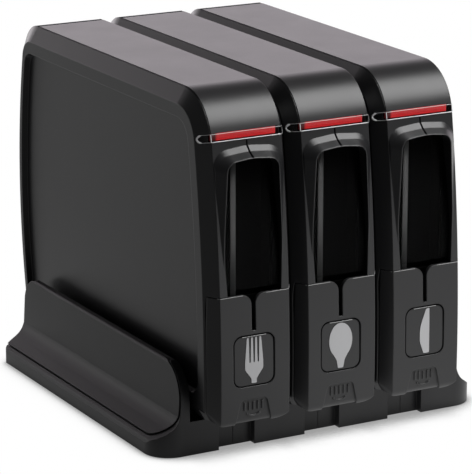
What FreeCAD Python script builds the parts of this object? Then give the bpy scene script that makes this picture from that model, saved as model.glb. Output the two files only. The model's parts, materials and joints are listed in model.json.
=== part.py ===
import FreeCAD, Part
import math
import os

Vector = FreeCAD.Vector

# Cutlery dispenser: three towers (fork, spoon, knife) on a four-piece base.
# Millimetres. x to the right, y to the back, z up. The origin is under the middle of the
# whole object, on the surface that its feet stand on.

# ---------------------------------------------------------------- driving dimensions
KINDS = ("fork", "spoon", "knife")
PITCH = 72.0  # from one tower's middle to the next
TOWER_GAP = 1.0  # air between two towers
SEAM = 0.3  # parting line between two moulded halves
LEAST_ROUND = 1.0  # smallest corner of a form that is offset inward

TOWER_DEPTH = 334.0
TOWER_TOP = 268.0
FRONT_RADIUS = 1143.0  # the front face bulges slowly
FRONT_BULGE_Z = 59.0
REAR_RADIUS = 560.0
REAR_BULGE_Z = 139.0
FRONT_TOP_ROUND = 38.0
FRONT_BOTTOM_ROUND = 6.0
REAR_TOP_ROUND = 27.0
REAR_BOTTOM_ROUND = 16.0
BEVEL_WIDTH = 7.5  # chamfer round the side, across x
BEVEL_DROP = 12.0  # and inward from the profile
FLANK_ROUND = 13.0  # lower long edges of a tower
WALL = 3.0
SIDE_WALL = 7.3

POCKET_DEPTH = 4.5  # the side panel is sunk this far
POCKET_BORDER = 21.0
POCKET_REAR_BORDER = 16.0
POCKET_DRAFT = 1.5
POCKET_ROUND = 11.0

# Window with its hood
WINDOW_TOP_DROP = 45.3  # below the tower's top
WINDOW_SHOULDER_DROP = 2.4  # below the window's top
WINDOW_WIDE_DROP = 66.7
WINDOW_TOP_HALF = 20.3
WINDOW_WIDE_HALF = 23.5
WINDOW_BOTTOM_HALF = 21.8
WINDOW_CORNER = 7.5
WINDOW_SIDE_CURVE = 300.0
WINDOW_TOP_CURVE = 60.0
HOOD_SETBACK = 3.2  # behind the foremost point; the rim stands upright while the face leans back
HOOD_HALF = 27.4
# Sections of the hood from its rim to its root: how far behind the rim, how far outside
# the window's sides, how far above its top, and the radius of the upper corners.
HOOD_SECTIONS = (
    (0.0, 0.5, 0.1, 8.0),
    (0.5, 1.1, 0.5, 8.6),
    (6.0, 6.4, 3.8, 12.5),
    (16.8, 16.0, 14.6, 20.0),
)
PANE_GAP = 0.2
PANE_THICK = 1.6
PANE_HALF = 25.5
PANE_BOTTOM_RISE = 2.8  # above the lever's opening
PANE_TOP_RISE = 6.3  # above the window's top

# Stock indicator
LENS_TOP_DROP = 27.6  # below the tower's top
LENS_BOTTOM_DROP = 33.5
LENS_HALF = 34.6
LENS_END_FLAT = 0.3  # straight stretch between the two rounds at each end
LENS_TILT_DEGREES = 11.5  # the band runs down as it goes back, square to the face
LENS_PROUD = 0.4
LENS_DEPTH = 2.0
LENS_GAP = 0.15
LENS_CUT_SETBACK = 27.5

# Lid over the top and its hinge
LID_GAP = 0.3
LID_SIDE_GAP = 0.2
LID_THICK = 3.0
LID_SWING_DEGREES = 75.0
HINGE_SETBACK = 39.0  # in front of the rearmost point
HINGE_BARREL = 6.0
HINGE_CLEARANCE = 0.4
HINGE_PIN_RADIUS = 1.5
HINGE_PIN_HALF = 29.8
LEDGE_WIDTH = 1.8
LEDGE_THICK = 2.0
LEDGE_GAP = 0.3
LEDGE_FRONT_DROP = 23.0  # below the tower's top
LEDGE_REAR_SPACE = 10.0

# Push lever
LEVER_TOP_Z = 123.6
LEVER_BOTTOM_GAP = 1.2
LEVER_HALF = 34.3
LEVER_LEFT_CORNER = 12.0
LEVER_RIGHT_CORNER = 18.0
LEVER_WALL = 3.0
LEVER_REACH = 11.0  # how far its flanks go back from the foremost point
LEVER_GAP = 0.3
LEVER_TOP_GAP = 0.6
LEVER_SWING_DEGREES = 6.5
LEVER_SWING_CLEARANCE = 1.2
PIVOT_SETBACK = 22.0
PIVOT_Z = 116.0
PIVOT_PIN_RADIUS = 2.0
PIVOT_PIN_INNER = 23.6
PIVOT_PIN_OUTER = 30.4
PIVOT_BOSS = 5.0
EAR_INNER = 24.2
EAR_THICK = 3.0
EAR_TOP_Z = 121.0
EAR_BOTTOM_Z = 98.0
RUNNING_FIT = 0.05
PRESS_FIT = 0.02
BAND_SLOT_WIDTH = 3.3
BAND_SHOULDER_ROUND = 7.0
BAND_SLOT_BOTTOM_Z = 97.0
BAND_SLOT_ROUND = 0.4
FACE_MARKS_X = -1.0  # notch, icon and finger recess lie a little to the left
RECESS_TOP_Z = 46.0
RECESS_TOP_HALF = 10.4
RECESS_BOTTOM_HALF = 15.5
RECESS_CORNER = 4.0
RECESS_DEPTH = 1.3
GRIP_COUNT = 5
GRIP_STEP = 3.6
GRIP_WIDTH = 1.3
GRIP_BOTTOM_Z = 37.4
GRIP_TOP_Z = 43.6
GRIP_DEPTH = 0.5  # below the lever's face
SMILE_HALF = 5.6
SMILE_TOP_Z = 35.2
SMILE_SAG = 2.4
EXIT_RELIEF_Z = 33.0
EXIT_RELIEF_REACH = 6.5
PUSH_RIB_INNER = 15.0
PUSH_RIB_OUTER = 19.0
PUSH_RIB_HEIGHT = 2.6
PUSH_RIB_GAP = 0.3

# Icon plate and pictogram
ICON_WIDTH = 32.0
ICON_HEIGHT = 36.8
ICON_CORNER = 6.0
ICON_MIDDLE_Z = 74.8
ICON_SINK = 0.4
ICON_THICK = 1.2
ICON_GAP = 0.9
ICON_BED = 0.05
PICTOGRAM_THICK = 0.3
PICTOGRAM_BED = 0.02
PICTOGRAM_HEIGHT = 34.0
HANDLE_ROUND = 0.8
TINE_ROUND = 0.4
TINE_COUNT = 4
TINE_STEP = 3.35
TINE_GAP_TOP = 2.0
TINE_GAP_ROOT = 1.1
TINE_GAP_ROUNDNESS = 0.8  # 1 would be nearly a full half circle at the root of each gap
TINE_LENGTH = 18.5
FORK_TOP_HALF = 5.8
FORK_HALF = 7.4
FORK_WIDEST_DROP = 18.0
FORK_WIDEST_ROUND = 20.0
FORK_HEAD = 23.4
FORK_HEAD_ROUND = 3.0
FORK_NECK_HALF = 2.1
FORK_NECK_DROP = 30.6
FORK_NECK_ROUND = 2.0
BOWL_HALF_WIDTH = 9.7
BOWL_HALF_HEIGHT = 13.2
SPOON_SHOULDER_HALF = 7.6
SPOON_SHOULDER_DROP = 20.8
SPOON_NECK_HALF = 3.3
SPOON_NECK_DROP = 28.0
SPOON_NECK_ROUND = 5.0
SPOON_HANDLE_HALF = 2.2
KNIFE_WIDTH = 8.2
KNIFE_HANDLE_WIDTH = 4.8
KNIFE_TIP = 2.8
KNIFE_TIP_ROUND = 1.8
KNIFE_EDGE_DROP = 14.0
KNIFE_EDGE_ROUND = 30.0
KNIFE_HEEL_DROP = 24.5
KNIFE_HEEL_ROUND = 10.0

# Magazine
MAGAZINE_INNER = 21.0
MAGAZINE_WALL = 2.0
MAGAZINE_FRONT_SETBACK = 17.6  # behind the foremost point of the tower
MAGAZINE_REAR_SETBACK = 27.5  # in front of its rearmost point
MAGAZINE_FLOOR_Z = 38.0
MAGAZINE_FLOOR_THICK = 2.5
MAGAZINE_TOP_DROP = 40.0  # below the tower's top
CHUTE_FRONT_SETBACK = 20.0
CHUTE_REAR_SETBACK = 28.5
CHUTE_HALF = 14.0
FRONT_WALL_BOTTOM_Z = 44.0
FRONT_WALL_TOP_DROP = 5.6  # below the lever's top
TOP_BAR_HEIGHT = 5.0
GUIDE_RAIL_LEFT = -11.2
GUIDE_RAIL_WIDTH = 4.5
GUIDE_RAIL_TOP_DROP = 2.0  # below the magazine's top
TAB_GAP = 0.2
TAB_SIZE = 4.0
TAB_FRONT_SETBACK = 67.0
TAB_REAR_SETBACK = 57.0
TAB_RISE = 24.0  # above the magazine's floor
TAB_DROP = 36.0  # below its top
REAR_FOOT_SETBACK = 11.5  # in front of the magazine's rear
REAR_FOOT_THICK = 3.0
REAR_FOOT_HALF = 20.0
REAR_FOOT_GAP = 0.3

# Release gate, its rails and its spring
GATE_HALF = 19.5
GATE_THICK = 4.0
GATE_GAP = 0.3
GATE_LENGTH = 49.3
GATE_OVERLAP = 0.3  # the gate covers the chute and this much more
RAIL_LENGTH = 78.5
RAIL_LIP = 3.0
RAIL_LIP_THICK = 2.4
RAIL_BOTTOM_Z = 30.0
RETURN_SPRING_LENGTH = 18.0
RETURN_SPRING_RADIUS = 1.6  # small enough to clear the magazine's floor
RETURN_SPRING_WIRE = 0.45
RETURN_SPRING_TURNS = 6
SPRING_END_GAP = 0.15
SPRING_STOP_HALF = 4.0
SPRING_STOP_THICK = 3.0

# Pusher, its flag and its ribbon spring
PUSHER_HALF = 20.0
PUSHER_THICK = 3.0
PUSHER_FLOOR_GAP = 0.5
PUSHER_BOTTOM_RISE = 3.0
PUSHER_NECK_RISE = 3.0  # above the magazine's top
PUSHER_HEAD_HALF = 25.8
PUSHER_HEAD_DROP = 0.4  # below the lens's top
PUSHER_HEAD_SETBACK = 20.7
CHEEK_THICK = 4.0
CHEEK_TOP_Z = 62.0
CHEEK_LENGTH = 27.5
SPINDLE_RADIUS = 3.0
SPINDLE_SETBACK = 18.5  # behind the pusher's front
SPINDLE_Z = 52.0
COIL_RADIUS = 8.5
COIL_HALF = 7.0
COIL_GAP = 0.1
RIBBON_THICK = 0.4
FLAG_HALF = 26.0
FLAG_THICK = 2.0

# Screws
REAR_SCREW_SETBACK = 17.0
REAR_SCREW_Z = 60.0
REAR_SCREW_DROP = 68.0  # the upper one, below the tower's top
FLOOR_SCREW_SETBACKS = (67.0, 147.0)
FLOOR_SCREW_RISE = 7.0  # above the tower's bottom
SCREW_RADIUS = 1.5
SCREW_HEAD_RADIUS = 3.0
SCREW_HEAD = 2.0
SCREW_FREE_HOLE = 1.7
SCREW_HEAD_HOLE = 3.3
SCREW_SEAT_X = 27.0
SCREW_TIP_X = -10.0
SCREW_BOSS = 4.3
SCREW_DRIVE_RADIUS = 1.3
SCREW_DRIVE_DEPTH = 1.0
BASE_SCREW_X = 14.0  # either side of a tower's middle
BASE_SCREW_FRONT_INSET = 39.2
BASE_SCREW_REAR_INSET = 27.3
BASE_SCREW_TIP = 3.5  # above the deck

# Base
BASE_WIDTH = 275.0
BASE_FRONT_SETBACK = 27.8
BASE_REAR_SETBACK = 39.7
BASE_HEIGHT = 26.0
BASE_WALL = 3.0
BASE_BOTTOM_Z = 0.4
NOTCH_HALF = 14.8
NOTCH_DEPTH = 6.0
BASE_FRONT_CORNER = 20.0
BASE_REAR_CORNER = 6.0
FOOT_RADIUS = 8.0
FOOT_HEIGHT = 3.0
FOOT_GAP = 0.05
FOOT_BOSS_WALL = 1.5
FOOT_FRONT_INSET = 27.2
FOOT_REAR_INSET = 27.3
END_FOOT_INSET = 37.0  # from the end of the base, clear of the screws

# Side wings of the end modules, measured outward from the outer tower's middle
WING_INNER = 38.5
WING_TOP_OUTER = 44.2
WING_TOP_Z = 67.3
WING_TOP_ROUND = 2.2
WING_WAIST = 46.4
WING_WAIST_Z = 30.0
WING_CURVE = 48.7  # where the waist turns out into the skirt
WING_CURVE_Z = 23.0
WING_SKIRT_INSET = 1.2  # from the end of the base
WING_SKIRT_Z = 12.3
WING_EDGE_Z = 9.0
WING_WAIST_ROUND = 16.0
WING_SKIRT_ROUND = 3.0
WING_FRONT_ROUND = 27.0
WING_REAR_ROUND = 18.0
WING_SKIN = 2.5
WING_CORE_TOP_Z = 58.0
WING_CORE_LEAST = 0.8
WING_CORE_WAIST_Z = 19.0
WING_CORE_EDGE_Z = 8.0
PANEL_PROUD = 0.7
PANEL_LIFT = 0.45
PANEL_BOTTOM_Z = 14.8
PANEL_FRONT_BORDER = 1.5
PANEL_ROUND = 22.0
GROOVE_WIDTH = 1.2  # shadow groove round the panel's bottom and front
GROOVE_DEPTH = 0.8

# ---------------------------------------------------------------- worked-out places
SIDE_HALF = (PITCH - TOWER_GAP) / 2
FACE_HALF = SIDE_HALF - BEVEL_WIDTH
CAVITY_HALF = SIDE_HALF - SIDE_WALL
BEVEL_SLOPE = BEVEL_DROP / BEVEL_WIDTH
FRONT_Y = -TOWER_DEPTH / 2
REAR_Y = TOWER_DEPTH / 2
TOWER_BOTTOM = BASE_HEIGHT
FLOOR_Z = TOWER_BOTTOM + WALL
HINGE_Y = REAR_Y - HINGE_SETBACK
HINGE_Z = TOWER_TOP - HINGE_BARREL
LID_HALF = FACE_HALF - LID_SIDE_GAP
LID_OPENING_HALF = FACE_HALF + LID_SIDE_GAP
LENS_TOP_Z = TOWER_TOP - LENS_TOP_DROP
LENS_BOTTOM_Z = TOWER_TOP - LENS_BOTTOM_DROP
LENS_CUT_BACK_Y = FRONT_Y + LENS_CUT_SETBACK
LID_FRONT_Z = LENS_TOP_Z + LID_GAP
LEDGE_FRONT_Z = TOWER_TOP - LEDGE_FRONT_DROP
PIVOT_Y = FRONT_Y + PIVOT_SETBACK
LEVER_BOTTOM_Z = TOWER_BOTTOM + LEVER_BOTTOM_GAP
LEVER_OPENING_TOP_Z = LEVER_TOP_Z + LEVER_TOP_GAP
WINDOW_TOP_Z = TOWER_TOP - WINDOW_TOP_DROP
HOOD_Y = FRONT_Y + HOOD_SETBACK
HOOD_ROOT_Y = HOOD_Y + HOOD_SECTIONS[-1][0]
MAGAZINE_OUTER = MAGAZINE_INNER + MAGAZINE_WALL
MAGAZINE_FRONT_Y = FRONT_Y + MAGAZINE_FRONT_SETBACK
MAGAZINE_REAR_Y = REAR_Y - MAGAZINE_REAR_SETBACK
MAGAZINE_TOP_Z = TOWER_TOP - MAGAZINE_TOP_DROP
FRONT_WALL_TOP_Z = LEVER_TOP_Z - FRONT_WALL_TOP_DROP
GUIDE_RAIL_TOP_Z = MAGAZINE_TOP_Z - GUIDE_RAIL_TOP_DROP
CHUTE_FRONT_Y = FRONT_Y + CHUTE_FRONT_SETBACK
CHUTE_REAR_Y = FRONT_Y + CHUTE_REAR_SETBACK
TAB_ROWS_Y = (FRONT_Y + TAB_FRONT_SETBACK, 0.0, REAR_Y - TAB_REAR_SETBACK)
TAB_ROWS_Z = (MAGAZINE_FLOOR_Z + TAB_RISE, MAGAZINE_TOP_Z - TAB_DROP)
REAR_FOOT_Y = MAGAZINE_REAR_Y - REAR_FOOT_SETBACK
GATE_TOP_Z = MAGAZINE_FLOOR_Z - GATE_GAP
GATE_BOTTOM_Z = GATE_TOP_Z - GATE_THICK
GATE_MIDDLE_Z = (GATE_TOP_Z + GATE_BOTTOM_Z) / 2
GATE_FRONT_Y = CHUTE_FRONT_Y - GATE_OVERLAP
GATE_REAR_Y = GATE_FRONT_Y + GATE_LENGTH
RAIL_REAR_Y = CHUTE_REAR_Y + RAIL_LENGTH
PUSHER_FRONT_Y = CHUTE_REAR_Y
PUSHER_NECK_Z = MAGAZINE_TOP_Z + PUSHER_NECK_RISE
PUSHER_HEAD_TOP_Z = LENS_TOP_Z - PUSHER_HEAD_DROP
PUSHER_HEAD_FRONT_Y = FRONT_Y + PUSHER_HEAD_SETBACK
SPINDLE_Y = PUSHER_FRONT_Y + SPINDLE_SETBACK
FLOOR_SCREW_Z = TOWER_BOTTOM + FLOOR_SCREW_RISE
SHELL_SCREWS = (
    (REAR_Y - REAR_SCREW_SETBACK, REAR_SCREW_Z),
    (REAR_Y - REAR_SCREW_SETBACK, TOWER_TOP - REAR_SCREW_DROP),
) + tuple((REAR_Y - setback, FLOOR_SCREW_Z) for setback in FLOOR_SCREW_SETBACKS)  # y, z
TOWER_MIDDLES = tuple((index - 1) * PITCH for index in range(len(KINDS)))
BASE_FRONT_Y = FRONT_Y + BASE_FRONT_SETBACK
BASE_REAR_Y = REAR_Y - BASE_REAR_SETBACK
BASE_SCREW_ROWS_Y = (BASE_FRONT_Y + BASE_SCREW_FRONT_INSET, BASE_REAR_Y - BASE_SCREW_REAR_INSET)
FOOT_ROWS_Y = (BASE_FRONT_Y + FOOT_FRONT_INSET, BASE_REAR_Y - FOOT_REAR_INSET)
END_FOOT_X = BASE_WIDTH / 2 - END_FOOT_INSET
WING_REACH = BASE_WIDTH / 2 - PITCH  # outer edge of the base from the outer tower's middle
WING_SKIRT = WING_REACH - WING_SKIRT_INSET


# ---------------------------------------------------------------- small helpers
def box(x0, x1, y0, y1, z0, z1):
    return Part.makeBox(x1 - x0, y1 - y0, z1 - z0, Vector(x0, y0, z0))


def middle_box(half, y0, y1, z0, z1):
    return box(-half, half, y0, y1, z0, z1)


def rod_x(x0, x1, y, z, radius):
    return Part.makeCylinder(radius, x1 - x0, Vector(x0, y, z), Vector(1, 0, 0))


def rod_z(x, y, z0, z1, radius):
    return Part.makeCylinder(radius, z1 - z0, Vector(x, y, z0), Vector(0, 0, 1))


def mirrored(shape):
    return shape.mirror(Vector(0, 0, 0), Vector(1, 0, 0))


def pair(shape):
    """A piece and its mirror image across the tower's middle."""
    return [shape, mirrored(shape)]


def moved(shape, x=0.0, y=0.0, z=0.0):
    copy = shape.copy()
    copy.translate(Vector(x, y, z))
    return copy


def on_xz(u, v):
    return Vector(u, 0, v)


def on_yz(u, v):
    return Vector(0, u, v)


def on_xy(u, v):
    return Vector(u, v, 0)


def rounded_wire(corners, place):
    """Closed wire through corners (u, v, radius), each rounded by its own radius."""
    edges = []
    first_start = last_end = None
    for index, (u, v, radius) in enumerate(corners):
        here = Vector(u, v, 0)
        before = Vector(*corners[index - 1][:2], 0) - here
        after = Vector(*corners[(index + 1) % len(corners)][:2], 0) - here
        half_turn = before.getAngle(after) / 2
        before.normalize()
        after.normalize()
        run = radius / math.tan(half_turn)
        start, end = here + before * run, here + after * run
        if last_end is not None:
            edges.append(Part.makeLine(place(*last_end[:2]), place(*start[:2])))
        else:
            first_start = start
        if radius > 0:
            middle = here + (before + after).normalize() * (radius / math.sin(half_turn) - radius)
            edges.append(Part.Arc(*(place(*p[:2]) for p in (start, middle, end))).toShape())
        last_end = end
    edges.append(Part.makeLine(place(*last_end[:2]), place(*first_start[:2])))
    return Part.Wire(edges)


def prism_y(corners, y0, y1):
    """Solid with a rounded outline in x and z, between two depths."""
    face = Part.Face(rounded_wire(corners, on_xz))
    return moved(face, y=y0).extrude(Vector(0, y1 - y0, 0))


def prism_x(corners, x0, x1):
    """Solid with a rounded outline in y and z, between two widths."""
    face = Part.Face(rounded_wire(corners, on_yz))
    return moved(face, x=x0).extrude(Vector(x1 - x0, 0, 0))


def prism_z(corners, z0, z1):
    """Solid with a rounded outline in x and y, between two heights."""
    face = Part.Face(rounded_wire(corners, on_xy))
    return moved(face, z=z0).extrude(Vector(0, 0, z1 - z0))


def arc_between(centre, radius, start, end):
    """Short arc about a centre."""
    toward = (start - centre).normalize() + (end - centre).normalize()
    return Part.Arc(start, centre + toward.normalize() * radius, end).toShape()


# ---------------------------------------------------------------- the tower's form
def side_profile(x, inset=0.0, rear_inset=None, least_round=LEAST_ROUND):
    """Outline of a tower seen from the side, moved inward by an inset, at one x."""
    rear_inset = inset if rear_inset is None else rear_inset
    front = (Vector(x, FRONT_Y + FRONT_RADIUS, FRONT_BULGE_Z), FRONT_RADIUS - inset, -1)
    rear = (Vector(x, REAR_Y - REAR_RADIUS, REAR_BULGE_Z), REAR_RADIUS - rear_inset, 1)
    top, bottom = TOWER_TOP - inset, TOWER_BOTTOM + inset
    corners = []
    for (bulge, radius, side), flat_z, inward, full_round in (
        (front, top, -1, FRONT_TOP_ROUND),
        (rear, top, -1, REAR_TOP_ROUND),
        (rear, bottom, 1, REAR_BOTTOM_ROUND),
        (front, bottom, 1, FRONT_BOTTOM_ROUND),
    ):
        rounding = max(full_round - inset, least_round)
        z = flat_z + inward * rounding
        reach = math.sqrt((radius - rounding) ** 2 - (z - bulge.z) ** 2)
        centre = Vector(x, bulge.y + side * reach, z)
        on_flat = Vector(x, centre.y, flat_z)
        on_bulge = bulge + (centre - bulge) * (radius / (radius - rounding))
        corners.append((centre, rounding, on_flat, on_bulge))
    (c0, r0, flat0, bulge0), (c1, r1, flat1, bulge1) = corners[:2]
    (c2, r2, flat2, bulge2), (c3, r3, flat3, bulge3) = corners[2:]
    return Part.Wire([
        arc_between(front[0], front[1], bulge3, bulge0),
        arc_between(c0, r0, bulge0, flat0),
        Part.makeLine(flat0, flat1),
        arc_between(c1, r1, flat1, bulge1),
        arc_between(rear[0], rear[1], bulge1, bulge2),
        arc_between(c2, r2, bulge2, flat2),
        Part.makeLine(flat2, flat3),
        arc_between(c3, r3, flat3, bulge3),
    ])


def profile_prism(half, inset):
    """The side profile, inset, as a straight solid across the tower."""
    return Part.Face(side_profile(-half, inset)).extrude(Vector(2 * half, 0, 0))


def tower_form(depth=0.0):
    """The bevelled outer form of a tower, with every face moved inward by a depth."""
    stretch = math.hypot(1, BEVEL_SLOPE)
    face_half = FACE_HALF - depth * (stretch - 1) / BEVEL_SLOPE
    side_half = SIDE_HALF - depth
    side_inset = BEVEL_SLOPE * (side_half - FACE_HALF) + depth * stretch
    bevel = Part.makeLoft([side_profile(face_half, depth), side_profile(side_half, side_inset)], True, True)
    return profile_prism(face_half, depth).fuse(pair(bevel))


def skin(outer_depth, inner_depth, half=FACE_HALF):
    """Slice of a tower's front, top and rear walls between two depths."""
    return profile_prism(half, outer_depth).cut(profile_prism(half + WALL, inner_depth))


OUTER_FORM = tower_form()


# ---------------------------------------------------------------- housing
def flank_outline(half, bottom, rounding):
    return (
        (-half, TOWER_TOP + WALL, 0), (-half, bottom, rounding),
        (half, bottom, rounding), (half, TOWER_TOP + WALL, 0),
    )


def cavity():
    lower_round = FLANK_ROUND / 2
    limit = prism_y(flank_outline(CAVITY_HALF, FLOOR_Z, lower_round), FRONT_Y, REAR_Y)
    return profile_prism(CAVITY_HALF + WALL, WALL).common(limit)


def side_pocket():
    floor = SIDE_HALF - POCKET_DEPTH
    mouth = side_profile(SIDE_HALF + POCKET_DRAFT, POCKET_BORDER, POCKET_REAR_BORDER, POCKET_ROUND)
    bed = side_profile(floor, POCKET_BORDER + POCKET_DRAFT, POCKET_REAR_BORDER + POCKET_DRAFT, POCKET_ROUND)
    return Part.makeLoft([bed, mouth], True, True)


def window_outline(side_grow=0.0, top_grow=0.0, corner=WINDOW_CORNER):
    shoulder = WINDOW_TOP_Z - WINDOW_SHOULDER_DROP + top_grow
    top_half, wide_half = WINDOW_TOP_HALF + side_grow, WINDOW_WIDE_HALF + side_grow
    bottom_half = WINDOW_BOTTOM_HALF + side_grow
    left = (
        (-bottom_half, LEVER_OPENING_TOP_Z, 0),
        (-wide_half, WINDOW_TOP_Z - WINDOW_WIDE_DROP, WINDOW_SIDE_CURVE),
        (-top_half, shoulder, corner),
    )
    right = tuple((-x, z, radius) for x, z, radius in reversed(left))
    return left + ((0, WINDOW_TOP_Z + top_grow, WINDOW_TOP_CURVE),) + right


def hood():
    """Visor round the window: its flanks and brow slope from the rim back to the face."""
    sections = []
    for behind_rim, beside, above, corner in HOOD_SECTIONS:
        wire = rounded_wire(window_outline(beside, above, corner), on_xz)
        sections.append(moved(wire, y=HOOD_Y + behind_rim))
    block = Part.makeLoft(sections, True, True)
    return block.common(middle_box(HOOD_HALF, FRONT_Y, HOOD_ROOT_Y, LEVER_OPENING_TOP_Z, TOWER_TOP))


def lens_outline(grow=0.0):
    half, bottom, top = LENS_HALF + grow, LENS_BOTTOM_Z - grow, LENS_TOP_Z + grow
    rounding = (top - bottom - LENS_END_FLAT) / 2
    return ((-half, bottom, rounding), (half, bottom, rounding), (half, top, rounding), (-half, top, rounding))


def lens_band(grow=0.0):
    """Bar of the lens's outline, square to the face that it is let into."""
    middle_z = (LENS_BOTTOM_Z + LENS_TOP_Z) / 2
    face_y = FRONT_Y + FRONT_RADIUS - math.sqrt(FRONT_RADIUS ** 2 - (middle_z - FRONT_BULGE_Z) ** 2)
    band = prism_y(lens_outline(grow), FRONT_Y - WALL, LENS_CUT_BACK_Y)
    band.rotate(Vector(0, face_y, middle_z), Vector(1, 0, 0), -LENS_TILT_DEGREES)
    return band


def lens_slot():
    return lens_band(LENS_GAP).cut(tower_form(LENS_DEPTH + LENS_GAP))


def hinge_space():
    """Room for the lid's barrel, and behind it for the lid's plate at the end of its swing."""
    room = HINGE_BARREL + HINGE_CLEARANCE
    swing = math.radians(LID_SWING_DEGREES)
    touch_y, touch_z = room * math.sin(swing), room * math.cos(swing)
    rise = TOWER_TOP + WALL - HINGE_Z
    top_y = touch_y - (rise - touch_z) / math.tan(swing)
    behind = prism_x(
        (
            (HINGE_Y, HINGE_Z, 0), (HINGE_Y + touch_y, HINGE_Z + touch_z, 0),
            (HINGE_Y + top_y, HINGE_Z + rise, 0), (HINGE_Y, HINGE_Z + rise, 0),
        ),
        -LID_OPENING_HALF, LID_OPENING_HALF,
    )
    return rod_x(-LID_OPENING_HALF, LID_OPENING_HALF, HINGE_Y, HINGE_Z, room).fuse(behind)


def lid_opening():
    lower_z = LENS_BOTTOM_Z - LENS_GAP
    opening = middle_box(LID_OPENING_HALF, FRONT_Y - WALL, HINGE_Y, lower_z, TOWER_TOP + WALL)
    return opening.fuse(hinge_space())


def lid_ledges():
    outer_depth = LID_THICK + LEDGE_GAP
    strip = skin(outer_depth, outer_depth + LEDGE_THICK, CAVITY_HALF + LID_SIDE_GAP)
    keep = box(
        CAVITY_HALF - LEDGE_WIDTH, CAVITY_HALF + LID_SIDE_GAP, FRONT_Y, HINGE_Y - LEDGE_REAR_SPACE,
        LEDGE_FRONT_Z, TOWER_TOP,
    )
    return pair(strip.common(keep))


def lever_rear_limit(z):
    """How far back the swinging lever needs room at one height, with its clearance."""
    swing = math.tan(math.radians(LEVER_SWING_DEGREES)) * (PIVOT_Z - z)
    return FRONT_Y + LEVER_REACH + LEVER_SWING_CLEARANCE + swing


def lever_opening():
    half = LEVER_HALF + LEVER_GAP
    front, bottom, top = FRONT_Y - WALL, TOWER_BOTTOM - WALL, LEVER_OPENING_TOP_Z
    outline = (
        (front, bottom, 0), (lever_rear_limit(bottom), bottom, 0),
        (lever_rear_limit(top), top, 0), (front, top, 0),
    )
    return prism_x(outline, -half, half)


def exit_slot():
    front = lever_rear_limit(TOWER_BOTTOM) - WALL
    return middle_box(CHUTE_HALF, front, CHUTE_REAR_Y, TOWER_BOTTOM - WALL, FLOOR_Z + WALL)


def shell_screw_holes():
    cuts = []
    for y, z in SHELL_SCREWS:
        cuts.append(rod_x(SCREW_TIP_X - SCREW_HEAD, 0, y, z, SCREW_RADIUS + PRESS_FIT))
        cuts.append(rod_x(0, SCREW_SEAT_X, y, z, SCREW_FREE_HOLE))
        cuts.append(rod_x(SCREW_SEAT_X, SIDE_HALF + WALL, y, z, SCREW_HEAD_HOLE))
    return cuts


def base_screw_places():
    return [(side * BASE_SCREW_X, y) for y in BASE_SCREW_ROWS_Y for side in (-1, 1)]


def housing_halves():
    flanks = prism_y(flank_outline(SIDE_HALF, TOWER_BOTTOM, FLANK_ROUND), FRONT_Y - WALL, REAR_Y + WALL)
    body = OUTER_FORM.common(flanks).fuse(hood()).cut(cavity())
    bosses = [rod_x(-CAVITY_HALF - SEAM, CAVITY_HALF + SEAM, y, z, SCREW_BOSS) for y, z in SHELL_SCREWS]
    body = body.fuse(bosses + lid_ledges())
    window = prism_y(window_outline(), FRONT_Y - WALL, HOOD_ROOT_Y)
    pin_hole = HINGE_PIN_RADIUS + PRESS_FIT
    cuts = pair(side_pocket()) + [window, lens_slot(), lid_opening(), lever_opening(), exit_slot()]
    cuts.append(rod_x(-HINGE_PIN_HALF - SEAM, HINGE_PIN_HALF + SEAM, HINGE_Y, HINGE_Z, pin_hole))
    cuts += pair(rod_x(0, PIVOT_PIN_OUTER + PRESS_FIT, PIVOT_Y, PIVOT_Z, PIVOT_PIN_RADIUS + PRESS_FIT))
    cuts += shell_screw_holes()
    tip_z = BASE_HEIGHT + BASE_SCREW_TIP + PRESS_FIT
    cuts += [rod_z(x, y, 0, tip_z, SCREW_RADIUS + PRESS_FIT) for x, y in base_screw_places()]
    body = body.cut(cuts)
    right_side = box(SEAM / 2, PITCH, FRONT_Y - WALL, REAR_Y + WALL, 0, TOWER_TOP + WALL)
    return body.common(mirrored(right_side)), body.common(right_side)


def shell_screws():
    screws = []
    for y, z in SHELL_SCREWS:
        head = rod_x(SCREW_SEAT_X, SCREW_SEAT_X + SCREW_HEAD, y, z, SCREW_HEAD_RADIUS)
        drive = rod_x(SCREW_SEAT_X + SCREW_HEAD - SCREW_DRIVE_DEPTH, SIDE_HALF, y, z, SCREW_DRIVE_RADIUS)
        screws.append(rod_x(SCREW_TIP_X, SCREW_SEAT_X, y, z, SCREW_RADIUS).fuse(head).cut(drive))
    return Part.makeCompound(screws)


# ---------------------------------------------------------------- lid, lens, pane
def top_lid():
    plate = skin(0.0, LID_THICK, LID_HALF)
    plate = plate.common(middle_box(LID_HALF, FRONT_Y, HINGE_Y, LID_FRONT_Z, TOWER_TOP + WALL))
    barrel = rod_x(-LID_HALF, LID_HALF, HINGE_Y, HINGE_Z, HINGE_BARREL)
    bore = rod_x(-LID_HALF, LID_HALF, HINGE_Y, HINGE_Z, HINGE_PIN_RADIUS + RUNNING_FIT)
    return plate.fuse(barrel).cut(bore)


def lid_pin():
    return rod_x(-HINGE_PIN_HALF, HINGE_PIN_HALF, HINGE_Y, HINGE_Z, HINGE_PIN_RADIUS)


def indicator_lens():
    return lens_band().common(tower_form(-LENS_PROUD)).cut(tower_form(LENS_DEPTH))


def window_pane():
    depth = WALL + PANE_GAP
    bottom, top = LEVER_OPENING_TOP_Z + PANE_BOTTOM_RISE, WINDOW_TOP_Z + PANE_TOP_RISE
    return skin(depth, depth + PANE_THICK).common(middle_box(PANE_HALF, FRONT_Y, PIVOT_Y, bottom, top))


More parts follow.
